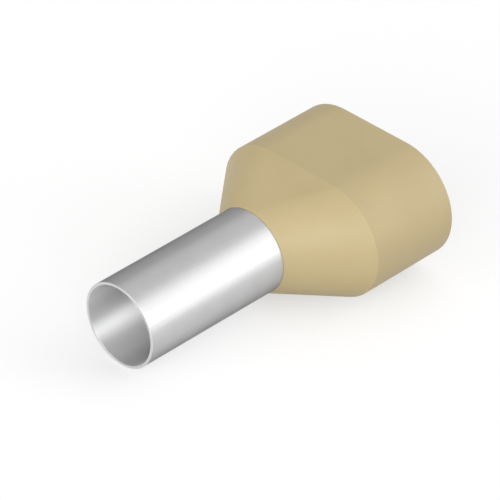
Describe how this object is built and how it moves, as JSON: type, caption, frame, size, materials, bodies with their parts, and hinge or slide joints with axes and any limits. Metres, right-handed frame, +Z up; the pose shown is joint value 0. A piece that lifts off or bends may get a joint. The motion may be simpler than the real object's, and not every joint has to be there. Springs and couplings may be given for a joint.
{
  "type": "twin wire ferrule",
  "caption": "Insulated twin wire-end ferrule: a round thin metal crimp sleeve held in a plastic collar that tapers out to an oblong entry for two wires.",
  "frame": {"origin": "on the surface that the ferrule rests on, under the middle of its bounding box", "axes": "+X along the ferrule's length, from the sleeve's mouth to the wire entry; +Y across the collar's wide side; +Z up. The ferrule lies as it rests, on the lower edge of the sleeve's mouth and on the crease at the end of the collar's taper, so its axis rises by 4.1 degrees towards the wire entry"},
  "size_m": [0.0244, 0.0144, 0.0091],
  "materials": {
    "tinned_copper": "satin",
    "ivory_plastic": "matte"
  },
  "bodies": {
    "root": {"crimp_sleeve": "tinned_copper", "insulating_collar": "ivory_plastic"}
  },
  "joints": []
}
